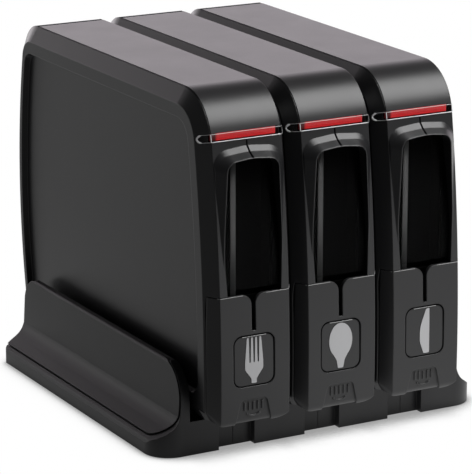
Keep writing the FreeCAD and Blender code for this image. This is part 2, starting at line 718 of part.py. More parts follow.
# ---------------------------------------------------------------- lever
def lever_ear():
    inner_face = profile_prism(EAR_INNER + EAR_THICK, LEVER_WALL / 2)
    foremost = FRONT_Y - WALL
    web = prism_x(
        (
            (foremost, EAR_BOTTOM_Z, 0), (PIVOT_Y, PIVOT_Z - PIVOT_BOSS, 0),
            (PIVOT_Y, EAR_TOP_Z, 0), (foremost, EAR_TOP_Z, 0),
        ),
        EAR_INNER, EAR_INNER + EAR_THICK,
    )
    hub = rod_x(EAR_INNER, EAR_INNER + EAR_THICK, PIVOT_Y, PIVOT_Z, PIVOT_BOSS)
    return web.common(inner_face).fuse(hub)


def band_notch():
    """Slot with rounded shoulders for pulling out the paper band of a refill."""
    narrow = BAND_SLOT_WIDTH / 2
    wide = narrow + BAND_SHOULDER_ROUND + SEAM
    outline = mirrored_outline((
        (-wide, LEVER_TOP_Z + WALL, 0), (-wide, LEVER_TOP_Z, 0), (-narrow, LEVER_TOP_Z, BAND_SHOULDER_ROUND),
        (-narrow, BAND_SLOT_BOTTOM_Z, BAND_SLOT_ROUND),
    ))
    return moved(prism_y(outline, FRONT_Y - WALL, PIVOT_Y), x=FACE_MARKS_X)


def recess_outline():
    bottom = LEVER_BOTTOM_Z - WALL
    left, right = FACE_MARKS_X - RECESS_TOP_HALF, FACE_MARKS_X + RECESS_TOP_HALF
    return (
        (FACE_MARKS_X - RECESS_BOTTOM_HALF, bottom, 0), (left, RECESS_TOP_Z, RECESS_CORNER),
        (right, RECESS_TOP_Z, RECESS_CORNER), (FACE_MARKS_X + RECESS_BOTTOM_HALF, bottom, 0),
    )


def grip_marks():
    """Upright ribs and a curved bar that stand on the floor of the finger recess."""
    first = FACE_MARKS_X - (GRIP_COUNT - 1) / 2 * GRIP_STEP
    marks = []
    for index in range(GRIP_COUNT):
        x = first + index * GRIP_STEP
        marks.append(box(
            x - GRIP_WIDTH / 2, x + GRIP_WIDTH / 2, FRONT_Y - WALL, PIVOT_Y, GRIP_BOTTOM_Z, GRIP_TOP_Z
        ))
    radius = (SMILE_HALF ** 2 + SMILE_SAG ** 2) / (2 * SMILE_SAG)
    middle_z = SMILE_TOP_Z - SMILE_SAG + radius
    y_start = Vector(FACE_MARKS_X, FRONT_Y - WALL, middle_z)
    length = PIVOT_Y - FRONT_Y + WALL
    ring = Part.makeCylinder(radius + GRIP_WIDTH / 2, length, y_start, Vector(0, 1, 0))
    ring = ring.cut(Part.makeCylinder(radius - GRIP_WIDTH / 2, length, y_start, Vector(0, 1, 0)))
    marks.append(ring.common(box(
        FACE_MARKS_X - SMILE_HALF, FACE_MARKS_X + SMILE_HALF, FRONT_Y - WALL, PIVOT_Y, TOWER_BOTTOM, SMILE_TOP_Z
    )))
    layer = skin(GRIP_DEPTH, RECESS_DEPTH + SEAM)
    return [mark.common(layer) for mark in marks]


def icon_outline(grow=0.0):
    half_width, half_height = ICON_WIDTH / 2 + grow, ICON_HEIGHT / 2 + grow
    return tuple(
        (FACE_MARKS_X + side * half_width, ICON_MIDDLE_Z + up * half_height, ICON_CORNER + grow)
        for side, up in ((-1, -1), (-1, 1), (1, 1), (1, -1))
    )


def push_rib():
    rib = box(
        PUSH_RIB_INNER, PUSH_RIB_OUTER, FRONT_Y, GATE_FRONT_Y - PUSH_RIB_GAP,
        GATE_MIDDLE_Z - PUSH_RIB_HEIGHT / 2, GATE_MIDDLE_Z + PUSH_RIB_HEIGHT / 2,
    )
    return rib.common(profile_prism(PUSH_RIB_OUTER, LEVER_WALL / 2))


def lever():
    outline = (
        (-LEVER_HALF, LEVER_TOP_Z, 0), (-LEVER_HALF, LEVER_BOTTOM_Z, LEVER_LEFT_CORNER),
        (LEVER_HALF, LEVER_BOTTOM_Z, LEVER_RIGHT_CORNER), (LEVER_HALF, LEVER_TOP_Z, 0),
    )
    blank = prism_y(outline, FRONT_Y - WALL, FRONT_Y + LEVER_REACH)
    plate = OUTER_FORM.common(blank).cut(tower_form(LEVER_WALL))
    recess = prism_y(recess_outline(), FRONT_Y - WALL, PIVOT_Y).cut(profile_prism(SIDE_HALF, RECESS_DEPTH))
    icon_bed = prism_y(icon_outline(ICON_GAP), FRONT_Y - WALL, PIVOT_Y)
    icon_bed = icon_bed.cut(profile_prism(SIDE_HALF, ICON_SINK + ICON_THICK + ICON_BED))
    relief = middle_box(
        RECESS_BOTTOM_HALF, FRONT_Y + EXIT_RELIEF_REACH, PIVOT_Y, TOWER_BOTTOM, EXIT_RELIEF_Z
    )
    plate = plate.cut([recess, icon_bed, band_notch(), relief])
    plate = plate.fuse(grip_marks() + pair(lever_ear()) + pair(push_rib()))
    return plate.cut(pair(rod_x(EAR_INNER - SEAM, SIDE_HALF, PIVOT_Y, PIVOT_Z, PIVOT_PIN_RADIUS + RUNNING_FIT)))


def lever_pins():
    pin = rod_x(PIVOT_PIN_INNER, PIVOT_PIN_OUTER, PIVOT_Y, PIVOT_Z, PIVOT_PIN_RADIUS)
    return Part.makeCompound(pair(pin))


def icon_plate():
    blank = prism_y(icon_outline(), FRONT_Y - WALL, PIVOT_Y)
    return blank.common(skin(ICON_SINK, ICON_SINK + ICON_THICK))


def mirrored_outline(left):
    """Full outline from its left half, which runs from the top to the bottom."""
    return tuple(left) + tuple((-x, z, radius) for x, z, radius in reversed(left))


def fork_picture(top):
    """Fork whose tines narrow towards their tips."""
    outline = mirrored_outline((
        (-FORK_TOP_HALF, top, TINE_ROUND), (-FORK_HALF, top - FORK_WIDEST_DROP, FORK_WIDEST_ROUND),
        (-FORK_HALF, top - FORK_HEAD, FORK_HEAD_ROUND),
        (-FORK_NECK_HALF, top - FORK_NECK_DROP, FORK_NECK_ROUND),
        (-FORK_NECK_HALF, top - PICTOGRAM_HEIGHT, HANDLE_ROUND),
    ))
    body = prism_y(outline, FRONT_Y - WALL, PIVOT_Y)
    wide, slit, bottom = TINE_GAP_TOP / 2, TINE_GAP_ROOT / 2, top - TINE_LENGTH
    rounding = slit * TINE_GAP_ROUNDNESS
    gaps = []
    for index in range(1, TINE_COUNT):
        x = (index - TINE_COUNT / 2) * TINE_STEP
        corners = (
            (x - wide, top, 0), (x - slit, bottom, rounding), (x + slit, bottom, rounding), (x + wide, top, 0)
        )
        gaps.append(prism_y(corners, FRONT_Y - WALL, PIVOT_Y))
    return body.cut(gaps)


def spoon_picture(top):
    middle = Vector(0, 0, top - BOWL_HALF_HEIGHT)
    ellipse = Part.Ellipse(Vector(0, 0, top), middle + Vector(BOWL_HALF_WIDTH, 0, 0), middle)
    bowl = Part.Face(Part.Wire([ellipse.toShape()]))
    bowl = moved(bowl, y=FRONT_Y - WALL).extrude(Vector(0, PIVOT_Y - FRONT_Y + WALL, 0))
    stem = mirrored_outline((
        (-SPOON_SHOULDER_HALF, top - SPOON_SHOULDER_DROP, 0),
        (-SPOON_NECK_HALF, top - SPOON_NECK_DROP, SPOON_NECK_ROUND),
        (-SPOON_HANDLE_HALF, top - PICTOGRAM_HEIGHT, HANDLE_ROUND),
    ))
    return bowl.fuse(prism_y(stem, FRONT_Y - WALL, PIVOT_Y))


def knife_picture(top):
    right, left = KNIFE_WIDTH / 2, -KNIFE_WIDTH / 2
    grip_left, bottom = right - KNIFE_HANDLE_WIDTH, top - PICTOGRAM_HEIGHT
    outline = (
        (right, bottom, HANDLE_ROUND), (right, top, TINE_ROUND), (right - KNIFE_TIP, top, KNIFE_TIP_ROUND),
        (left, top - KNIFE_EDGE_DROP, KNIFE_EDGE_ROUND), (left, top - KNIFE_HEEL_DROP, KNIFE_HEEL_ROUND),
        (grip_left, bottom, HANDLE_ROUND),
    )
    return prism_y(outline, FRONT_Y - WALL, PIVOT_Y)


PICTURES = {"fork": fork_picture, "spoon": spoon_picture, "knife": knife_picture}


def pictogram(kind):
    top = ICON_MIDDLE_Z + PICTOGRAM_HEIGHT / 2
    layer = skin(ICON_SINK - PICTOGRAM_THICK, ICON_SINK - PICTOGRAM_BED)
    return moved(PICTURES[kind](top), x=FACE_MARKS_X).common(layer)


# ---------------------------------------------------------------- magazine
def magazine():
    floor_top = MAGAZINE_FLOOR_Z + MAGAZINE_FLOOR_THICK
    walls = pair(box(
        MAGAZINE_INNER, MAGAZINE_OUTER, MAGAZINE_FRONT_Y, MAGAZINE_REAR_Y, MAGAZINE_FLOOR_Z, MAGAZINE_TOP_Z
    ))
    front_back_y = CHUTE_FRONT_Y
    guide_right = GUIDE_RAIL_LEFT + GUIDE_RAIL_WIDTH
    pieces = walls + [
        middle_box(MAGAZINE_OUTER, CHUTE_REAR_Y, MAGAZINE_REAR_Y, MAGAZINE_FLOOR_Z, floor_top),
        middle_box(
            MAGAZINE_OUTER, MAGAZINE_REAR_Y - MAGAZINE_WALL, MAGAZINE_REAR_Y, MAGAZINE_FLOOR_Z, MAGAZINE_TOP_Z
        ),
        middle_box(MAGAZINE_OUTER, MAGAZINE_FRONT_Y, front_back_y, FRONT_WALL_BOTTOM_Z, FRONT_WALL_TOP_Z),
        middle_box(
            MAGAZINE_OUTER, MAGAZINE_FRONT_Y, front_back_y, GUIDE_RAIL_TOP_Z - TOP_BAR_HEIGHT, GUIDE_RAIL_TOP_Z
        ),
        box(
            GUIDE_RAIL_LEFT, guide_right, MAGAZINE_FRONT_Y, front_back_y, FRONT_WALL_TOP_Z, GUIDE_RAIL_TOP_Z
        ),
        middle_box(
            REAR_FOOT_HALF, REAR_FOOT_Y, REAR_FOOT_Y + REAR_FOOT_THICK, FLOOR_Z + REAR_FOOT_GAP,
            MAGAZINE_FLOOR_Z,
        ),
        middle_box(
            SPRING_STOP_HALF, GATE_REAR_Y + RETURN_SPRING_LENGTH,
            GATE_REAR_Y + RETURN_SPRING_LENGTH + SPRING_STOP_THICK, RAIL_BOTTOM_Z, MAGAZINE_FLOOR_Z,
        ),
    ]
    web_inner = GATE_HALF + GATE_GAP
    lip_top = GATE_BOTTOM_Z - GATE_GAP
    rail_front_y = CHUTE_REAR_Y
    pieces += pair(box(web_inner, MAGAZINE_OUTER, rail_front_y, RAIL_REAR_Y, RAIL_BOTTOM_Z, MAGAZINE_FLOOR_Z))
    pieces += pair(box(
        web_inner - RAIL_LIP, MAGAZINE_OUTER, rail_front_y, RAIL_REAR_Y, lip_top - RAIL_LIP_THICK, lip_top
    ))
    for y in TAB_ROWS_Y:
        for z in TAB_ROWS_Z:
            pieces += pair(box(MAGAZINE_OUTER, CAVITY_HALF - TAB_GAP, y, y + TAB_SIZE, z, z + TAB_SIZE))
    return pieces[0].fuse(pieces[1:])


def release_gate():
    return middle_box(GATE_HALF, GATE_FRONT_Y, GATE_REAR_Y, GATE_BOTTOM_Z, GATE_TOP_Z)


def return_spring():
    inset = SPRING_END_GAP + RETURN_SPRING_WIRE
    length = RETURN_SPRING_LENGTH - 2 * inset
    helix = Part.makeHelix(length / RETURN_SPRING_TURNS, length, RETURN_SPRING_RADIUS)
    circle = Part.Circle(Vector(RETURN_SPRING_RADIUS, 0, 0), Vector(0, 1, 0), RETURN_SPRING_WIRE)
    coil = Part.Wire(helix.Edges).makePipeShell([Part.Wire([circle.toShape()])], True, True)
    coil.rotate(Vector(0, 0, 0), Vector(1, 0, 0), -90)
    return moved(coil, y=GATE_REAR_Y + inset, z=GATE_MIDDLE_Z)


# ---------------------------------------------------------------- pusher
def pusher():
    floor_top = MAGAZINE_FLOOR_Z + MAGAZINE_FLOOR_THICK
    rear = PUSHER_FRONT_Y + PUSHER_THICK
    bottom = floor_top + PUSHER_BOTTOM_RISE
    plate = middle_box(PUSHER_HALF, PUSHER_FRONT_Y, rear, bottom, PUSHER_NECK_Z)
    head = middle_box(PUSHER_HEAD_HALF, PUSHER_HEAD_FRONT_Y, rear, PUSHER_NECK_Z, PUSHER_HEAD_TOP_Z)
    cheeks = pair(box(
        PUSHER_HALF - CHEEK_THICK, PUSHER_HALF, PUSHER_FRONT_Y, rear + CHEEK_LENGTH,
        floor_top + PUSHER_FLOOR_GAP, CHEEK_TOP_Z,
    ))
    spindle = rod_x(-PUSHER_HALF, PUSHER_HALF, SPINDLE_Y, SPINDLE_Z, SPINDLE_RADIUS)
    return plate.fuse([head] + cheeks + [spindle])


def low_stock_flag():
    front = PUSHER_HEAD_FRONT_Y - FLAG_THICK
    return middle_box(FLAG_HALF, front, PUSHER_HEAD_FRONT_Y, LENS_BOTTOM_Z, PUSHER_HEAD_TOP_Z)


def pusher_spring():
    """Ribbon spring wound on the pusher's spindle, with the start of its free end."""
    coil = rod_x(-COIL_HALF, COIL_HALF, SPINDLE_Y, SPINDLE_Z, COIL_RADIUS)
    coil = coil.cut(rod_x(-COIL_HALF, COIL_HALF, SPINDLE_Y, SPINDLE_Z, SPINDLE_RADIUS + COIL_GAP))
    bottom = SPINDLE_Z - COIL_RADIUS
    rear_of_plate = PUSHER_FRONT_Y + PUSHER_THICK
    tail = middle_box(COIL_HALF, rear_of_plate + COIL_GAP, SPINDLE_Y, bottom, bottom + RIBBON_THICK)
    return coil.fuse(tail)


# ---------------------------------------------------------------- base
def notch_zones(grow=0.0):
    """Steps in the front wall of the base, one under each tower's middle."""
    rear = BASE_FRONT_Y + NOTCH_DEPTH + grow
    return [
        box(middle - NOTCH_HALF - grow, middle + NOTCH_HALF + grow, BASE_FRONT_Y - WALL, rear, 0, BASE_HEIGHT)
        for middle in TOWER_MIDDLES
    ]


def foot_boss(x, y):
    return rod_z(x, y, BASE_BOTTOM_Z, BASE_HEIGHT - BASE_WALL, FOOT_RADIUS + FOOT_GAP + FOOT_BOSS_WALL)


def foot_places(x):
    return [(x, y) for y in FOOT_ROWS_Y]


def deck_cuts(x0, x1, foot_x):
    """Holes for the feet and for the screws that hold the towers, between two x values."""
    cuts = [rod_z(x, y, 0, FOOT_HEIGHT, FOOT_RADIUS + FOOT_GAP) for x, y in foot_places(foot_x)]
    for middle in TOWER_MIDDLES:
        for x, y in base_screw_places():
            if x0 < middle + x < x1:
                cuts.append(rod_z(middle + x, y, 0, BASE_HEIGHT + WALL, SCREW_FREE_HOLE))
    return cuts


def finished_module(block, hollow, x0, x1, foot_x):
    hollow = hollow.cut(notch_zones(BASE_WALL))
    module = block.cut(notch_zones()).cut(hollow)
    module = module.fuse([foot_boss(x, y) for x, y in foot_places(foot_x)])
    return module.cut(deck_cuts(x0, x1, foot_x))


def middle_module(x0, x1):
    left, right = x0 + SEAM / 2, x1 - SEAM / 2
    block = box(left, right, BASE_FRONT_Y, BASE_REAR_Y, BASE_BOTTOM_Z, BASE_HEIGHT)
    hollow = box(
        left + BASE_WALL, right - BASE_WALL, BASE_FRONT_Y + BASE_WALL, BASE_REAR_Y - BASE_WALL,
        0, BASE_HEIGHT - BASE_WALL,
    )
    return finished_module(block, hollow, x0, x1, (x0 + x1) / 2)


def wing_section():
    """Right-hand end of the base seen from the front, from the tower's middle outward."""
    start = SEAM / 2
    return (
        (start, BASE_BOTTOM_Z, 0), (WING_REACH, BASE_BOTTOM_Z, 0), (WING_REACH, WING_EDGE_Z, 0),
        (WING_SKIRT, WING_SKIRT_Z, WING_SKIRT_ROUND), (WING_CURVE, WING_CURVE_Z, WING_WAIST_ROUND),
        (WING_WAIST, WING_WAIST_Z, 0),
        (WING_TOP_OUTER, WING_TOP_Z, WING_TOP_ROUND), (WING_INNER, WING_TOP_Z, WING_TOP_ROUND / 2),
        (WING_INNER, BASE_HEIGHT, 0), (start, BASE_HEIGHT, 0),
    )


def wing_core():
    """Hollow under the deck and inside the wing, seen from the front."""
    deck = BASE_HEIGHT - BASE_WALL
    start = SEAM / 2 + BASE_WALL
    core_inner = WING_INNER + WING_SKIN
    return (
        (start, 0, 0), (WING_REACH - BASE_WALL, 0, 0), (WING_REACH - BASE_WALL, WING_CORE_EDGE_Z, 0),
        (WING_WAIST, WING_CORE_WAIST_Z, 0), (WING_WAIST - WING_SKIN, WING_WAIST_Z, 0),
        (core_inner + WING_CORE_LEAST, WING_CORE_TOP_Z, 0), (core_inner, WING_CORE_TOP_Z, 0),
        (core_inner, deck, 0), (start, deck, 0),
    )


def wing_side_limit(front_border=0.0, bottom=0.0, front_round=WING_FRONT_ROUND, front_bottom_round=0.0):
    """Wing seen from the side: rounded where its top runs down at the front and the rear."""
    front = BASE_FRONT_Y + front_border
    return prism_x(
        (
            (front, bottom, front_bottom_round), (front, WING_TOP_Z + PANEL_LIFT, front_round),
            (BASE_REAR_Y, WING_TOP_Z + PANEL_LIFT, WING_REAR_ROUND), (BASE_REAR_Y, bottom, 0),
        ),
        0, WING_REACH + WALL,
    )


def panel_limit(grow=0.0):
    """Side view of the raised panel on the wing, grown to the front and downward."""
    return wing_side_limit(
        PANEL_FRONT_BORDER - grow, PANEL_BOTTOM_Z - grow, WING_FRONT_ROUND + grow, PANEL_ROUND + grow
    )


def wing_groove(section):
    """Shadow groove in the wing's outer face, round the panel's bottom and front."""
    layer = section.cut(moved(section, x=-GROOVE_DEPTH))
    return layer.common(panel_limit(GROOVE_WIDTH)).cut(panel_limit())


def right_end_module():
    section = prism_y(wing_section(), BASE_FRONT_Y, BASE_REAR_Y)
    plan = prism_z(
        (
            (0, BASE_FRONT_Y, 0), (WING_REACH, BASE_FRONT_Y, BASE_FRONT_CORNER),
            (WING_REACH, BASE_REAR_Y, BASE_REAR_CORNER), (0, BASE_REAR_Y, 0),
        ),
        0, WING_TOP_Z + WALL,
    )
    foot = box(0, WING_REACH, BASE_FRONT_Y, BASE_REAR_Y, 0, BASE_HEIGHT)
    body = section.common(plan).common(wing_side_limit().fuse(foot)).cut(wing_groove(section))
    panel = moved(section, x=PANEL_PROUD, z=PANEL_LIFT).common(panel_limit())
    outer_half = box(WING_INNER + WING_SKIN, WING_REACH, BASE_FRONT_Y, BASE_REAR_Y, 0, WING_TOP_Z + WALL)
    body = body.fuse(panel.common(plan).common(outer_half))
    hollow_limit = prism_z(
        (
            (0, BASE_FRONT_Y + BASE_WALL, 0),
            (WING_REACH - BASE_WALL, BASE_FRONT_Y + BASE_WALL, BASE_FRONT_CORNER - BASE_WALL),
            (WING_REACH - BASE_WALL, BASE_REAR_Y - BASE_WALL, BASE_REAR_CORNER - BASE_WALL),
            (0, BASE_REAR_Y - BASE_WALL, 0),
        ),
        0, BASE_HEIGHT - BASE_WALL,
    )
    slot_limit = box(
        WING_INNER, WING_WAIST + WALL, BASE_FRONT_Y + WING_FRONT_ROUND, BASE_REAR_Y - WING_REAR_ROUND,
        0, WING_TOP_Z,
    )
    hollow = prism_y(wing_core(), BASE_FRONT_Y, BASE_REAR_Y).common(hollow_limit.fuse(slot_limit))
    body, hollow = moved(body, x=PITCH), moved(hollow, x=PITCH)
    return finished_module(body, hollow, PITCH, BASE_WIDTH / 2, END_FOOT_X)


def rubber_feet():
    places = []
    for x in (-END_FOOT_X, -PITCH / 2, PITCH / 2, END_FOOT_X):
        places += foot_places(x)
    return Part.makeCompound([rod_z(x, y, 0, FOOT_HEIGHT, FOOT_RADIUS) for x, y in places])


def base_screws():
    under_deck = BASE_HEIGHT - BASE_WALL
    screws = []
    for middle in TOWER_MIDDLES:
        for x, y in base_screw_places():
            head = rod_z(middle + x, y, under_deck - SCREW_HEAD, under_deck, SCREW_HEAD_RADIUS)
            shank = rod_z(middle + x, y, under_deck, BASE_HEIGHT + BASE_SCREW_TIP, SCREW_RADIUS)
            drive = rod_z(middle + x, y, 0, under_deck - SCREW_HEAD + SCREW_DRIVE_DEPTH, SCREW_DRIVE_RADIUS)
            screws.append(head.fuse(shank).cut(drive))
    return Part.makeCompound(screws)


# ---------------------------------------------------------------- assembly
def tower_nodes():
    left_shell, right_shell = housing_halves()
    return {
        "left_shell": left_shell,
        "right_shell": right_shell,
        "top_lid": top_lid(),
        "lid_pin": lid_pin(),
        "indicator_lens": indicator_lens(),
        "window_pane": window_pane(),
        "magazine": magazine(),
        "pusher": pusher(),
        "low_stock_flag": low_stock_flag(),
        "pusher_spring": pusher_spring(),
        "lever": lever(),
        "icon_plate": icon_plate(),
        "lever_pins": lever_pins(),
        "release_gate": release_gate(),
        "return_spring": return_spring(),
        "shell_screws": shell_screws(),
    }


def base_nodes():
    right_end = right_end_module()
    return {
        "base_left_end": mirrored(right_end),
        "base_middle_left": middle_module(TOWER_MIDDLES[0], TOWER_MIDDLES[1]),
        "base_middle_right": middle_module(TOWER_MIDDLES[1], TOWER_MIDDLES[2]),
        "base_right_end": right_end,
        "rubber_feet": rubber_feet(),
        "base_screws": base_screws(),
    }


def export(name, shape):
    shape.exportStep("parts/" + name + ".step")


def main():
    os.makedirs("parts", exist_ok=True)
    common = tower_nodes()
    for kind, middle in zip(KINDS, TOWER_MIDDLES):
        for name, shape in common.items():
            export(kind + "_" + name, moved(shape, x=middle))
        export(kind + "_pictogram", moved(pictogram(kind), x=middle))
    for name, shape in base_nodes().items():
        export(name, shape)


main()
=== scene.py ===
import json
import math

import bmesh
import bpy
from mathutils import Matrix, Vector


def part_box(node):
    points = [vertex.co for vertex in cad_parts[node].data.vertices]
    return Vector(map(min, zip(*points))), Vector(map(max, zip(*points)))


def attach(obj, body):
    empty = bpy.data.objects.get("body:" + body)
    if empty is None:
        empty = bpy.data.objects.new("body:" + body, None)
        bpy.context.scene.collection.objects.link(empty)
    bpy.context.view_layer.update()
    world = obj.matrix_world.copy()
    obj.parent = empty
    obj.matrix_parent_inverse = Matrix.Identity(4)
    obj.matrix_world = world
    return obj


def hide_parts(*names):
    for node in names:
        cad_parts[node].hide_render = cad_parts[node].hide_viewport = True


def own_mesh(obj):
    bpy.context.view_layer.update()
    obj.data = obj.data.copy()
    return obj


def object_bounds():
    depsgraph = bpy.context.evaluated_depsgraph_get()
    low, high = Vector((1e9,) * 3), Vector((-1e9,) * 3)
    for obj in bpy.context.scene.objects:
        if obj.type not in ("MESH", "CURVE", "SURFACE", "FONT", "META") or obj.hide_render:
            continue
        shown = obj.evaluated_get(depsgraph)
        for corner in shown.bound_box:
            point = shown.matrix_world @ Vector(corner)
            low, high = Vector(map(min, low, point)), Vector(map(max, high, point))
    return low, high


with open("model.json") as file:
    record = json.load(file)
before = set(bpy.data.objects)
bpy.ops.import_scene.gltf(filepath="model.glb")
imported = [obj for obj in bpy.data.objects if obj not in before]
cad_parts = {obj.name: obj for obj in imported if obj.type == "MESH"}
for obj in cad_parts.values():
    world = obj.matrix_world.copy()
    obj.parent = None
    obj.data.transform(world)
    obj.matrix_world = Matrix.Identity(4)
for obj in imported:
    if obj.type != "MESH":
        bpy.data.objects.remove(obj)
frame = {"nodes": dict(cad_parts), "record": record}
cad_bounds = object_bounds()

# Cutlery dispenser: three towers side by side on a moulded base. Metres.
KINDS = ("fork", "spoon", "knife")
NODES = frame["nodes"]

# Camera: its place and direction, its focal length and sensor (mm), and how far it sees
CAMERA_PLACE = (-1.0082, -1.8357, 0.6989)
CAMERA_TOWARD = (0.46520, 0.84356, -0.26831)
CAMERA_LENS, CAMERA_SENSOR, CAMERA_FAR = 213.9, 36.0, 50.0

# Places in a tower, to the side from its own middle, as the solids have them
RAIL_LEFT, RAIL_RIGHT = -0.0112, -0.0067
RAIL_FRONT_Y = -0.1494
RAIL_BOTTOM_Z, RAIL_TOP_Z = 0.1195, 0.2255
LENS_HALF, LENS_BOTTOM_Z, LENS_TOP_Z = 0.0346, 0.2345, 0.2404
LENS_TILT = math.radians(11.5)
LENS_FACE_Y = -0.153
SEAM_TOP_Z, SEAM_BOTTOM_Z = 0.2338, 0.2226
LEVER_TOP_RUNS = ((-0.0290, -0.0095), (0.0095, 0.0335))

# Light facing on the guide rail, a painted highlight: how far it crowns, and the part of a half
# wave that the crown follows
RAIL_PROUD, RAIL_STEPS = 0.0006, 8
CROWN_START, CROWN_SPAN = 0.12, 0.76

# Painted highlight round the lens, a light bead: its radius, how far inside the border it lies, and
# its widths as shares of that radius along the lower edge, the upper one, the far left end and the
# ends that turn back
BEAD_RADIUS, BEAD_INSET = 0.00028, 0.00018
BEAD_LOWER, BEAD_UPPER, BEAD_LEFT_END, BEAD_TURNED = 1.15, 0.6, 2.6, 0.4
TURN_START, END_START = 0.0275, 0.0330
BORDER_STEPS, ARC_STEPS = 40, 12
# Each place on the lens is found by looking at it from this far in front
LOOK_DISTANCE = 0.05
# The left corner is where the front, followed in steps from the left end, comes level with the face
CORNER_STEP, CORNER_TRIES, CORNER_LEVEL = 0.0003, 60, 0.0004
CORNER_SHARES, CORNER_WIDTH = (-1.0, -0.5, 0.0, 0.5, 1.0), 1.3

# Fine lines: painted shade in the hood's seam and in the groove round the icon plate, and painted
# highlights on the edges
LINE_ROUNDNESS = 2
SEAM_RADIUS, SEAM_SINK, SEAM_ASIDE, SEAM_STEPS = 0.0009, 0.0006, 0.0002, 24
SEAM_FRONT_SHARE = 0.9
GROOVE_HALF, GROOVE_CORNER, GROOVE_SINK, GROOVE_STEPS = 0.00045, 0.00645, 0.0003, 8
SHINE_RADIUS, SHINE_DROP, SHINE_STEPS = 0.00025, 0.00015, 12

# Return spring: the radius of its wire, its turns and their facets, and the range of the gate
COIL_WIRE, COIL_TURNS, COIL_STEPS, COIL_SIDES = 0.00045, 6, 24, 8

# Painted shade at the flag's left end: its span, as shares of its width, and its tone there
FLAG_SHADE, FLAG_DARK = (0.060, 0.105), 0.10

# Finishes: two tones, how sharply dust keeps to level faces, the depth of grain and drawn lines,
# how long the drawn lines run, and how strongly clear plastic bends light
CHARCOAL = (0.0125, 0.0125, 0.0135)
DUST_TONE, DUST_LEVEL = (0.42, 0.41, 0.40, 1.0), 6.0
GRAIN_DEPTH, DRAWN_DEPTH = 0.0002, 0.0001
DRAWN_STRETCH = (0.05, 1.0, 1.0)
CLEAR_IOR = 1.49

# Floor: half its side, and what the part mirrors of it. The tone fades up toward the light side,
# and from the part's middle to the rear it is never below the tone behind.
FLOOR_HALF = 6.0
FLOOR_LIGHT_TOWARD = (0.985, 0.17, 0.0)
FLOOR_FADE, FLOOR_TONES = (-0.28, 0.06), (0.13, 1.06)
BEHIND_FADE, BEHIND_TONE = (-0.30, 0.0), 0.38
# Contact shadow: its reach, darkest tone, the openness that it fades over, and its samples
CONTACT_REACH, CONTACT_TONE, CONTACT_SHADE, CONTACT_SAMPLES = 0.034, 0.34, (0.48, 0.86), 12
WHITE = (1.0, 1.0, 1.0, 1.0)
# Pale walls behind the part: direction, how wide and how high each reaches, strength and colour
WALLS = (
    ((0.48, 0.87, 0.0), (0.45, 0.85), (0.34, 0.54), 1.5, (1.0, 0.92, 0.98, 1.0)),
    ((-0.44, 0.90, 0.0), (0.55, 0.90), (0.08, 0.32), 0.88, WHITE),
)
ROOM_STRENGTH = 0.05
# Softbox: its direction and distance from the part's middle, its size and its power
PART_MIDDLE = (0.0, 0.0, 0.13)
SOFTBOX_TOWARD, SOFTBOX_DISTANCE = (0.465, -0.45, 0.77), 1.6
SOFTBOX_SIZE, SOFTBOX_POWER = (1.1, 1.0), 26.0


def tower_middle(kind):
    """Middle of a tower from side to side."""
    low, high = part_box(kind + "_top_lid")
    return (low.x + high.x) / 2


# ---------------------------------------------------------------- camera
def place_camera():
    camera = bpy.data.objects.new("camera", bpy.data.cameras.new("camera"))
    bpy.context.scene.collection.objects.link(camera)
    camera.data.sensor_width = CAMERA_SENSOR
    camera.data.sensor_fit = "AUTO"
    camera.data.lens = CAMERA_LENS
    camera.data.clip_end = CAMERA_FAR
    camera.location = CAMERA_PLACE
    camera.rotation_euler = Vector(CAMERA_TOWARD).to_track_quat("-Z", "Y").to_euler()
    bpy.context.scene.camera = camera


# ---------------------------------------------------------------- nodes
def add_node(tree, kind, **values):
    """A node with its settings and input values, an underline standing for a space."""
    node = tree.nodes.new(kind)
    for name, value in values.items():
        if hasattr(node, name):
            setattr(node, name, value)
        else:
            node.inputs[name.replace("_", " ")].default_value = value
    return node


def eased(tree, source, low, high, from_value=0.0, to_value=1.0):
    """Smooth step of a value between two limits."""
    node = add_node(
        tree, "ShaderNodeMapRange", interpolation_type="SMOOTHSTEP",
        From_Min=low, From_Max=high, To_Min=from_value, To_Max=to_value,
    )
    tree.links.new(source, node.inputs["Value"])
    return node.outputs["Result"]


def combined(tree, operation, first, second):
    """One value from two."""
    node = add_node(tree, "ShaderNodeMath", operation=operation)
    tree.links.new(first, node.inputs[0])
    tree.links.new(second, node.inputs[1])
    return node.outputs[0]


def along(tree, source, toward):
    """How far a place lies in a direction."""
    node = add_node(tree, "ShaderNodeVectorMath", operation="DOT_PRODUCT")
    node.inputs[1].default_value = toward
    tree.links.new(source, node.inputs[0])
    return node.outputs["Value"]


def on_axis(tree, source, axis):
    """A place's measure on one axis."""
    node = add_node(tree, "ShaderNodeSeparateXYZ")
    tree.links.new(source, node.inputs[0])
    return node.outputs[axis]


def seen_or_mirrored(tree, seen, mirrored):
    """One light for the camera, and another for what the part mirrors."""
    path = add_node(tree, "ShaderNodeLightPath")
    mixed = add_node(tree, "ShaderNodeMixShader")
    tree.links.new(path.outputs["Is Camera Ray"], mixed.inputs["Fac"])
    tree.links.new(mirrored, mixed.inputs[1])
    tree.links.new(seen, mixed.inputs[2])
    return mixed.outputs[0]


# ---------------------------------------------------------------- shared effects
def new_group(name, inputs, outputs):
    """A node group with named inputs (name, kind, value) and outputs (name, kind)."""
    group = bpy.data.node_groups.new(name, "ShaderNodeTree")
    for label, kind, value in inputs:
        socket = group.interface.new_socket(name=label, in_out="INPUT", socket_type=kind)
        socket.default_value = value
    for label, kind in outputs:
        group.interface.new_socket(name=label, in_out="OUTPUT", socket_type=kind)
    entry = add_node(group, "NodeGroupInput")
    leave = add_node(group, "NodeGroupOutput")
    return group, entry, leave


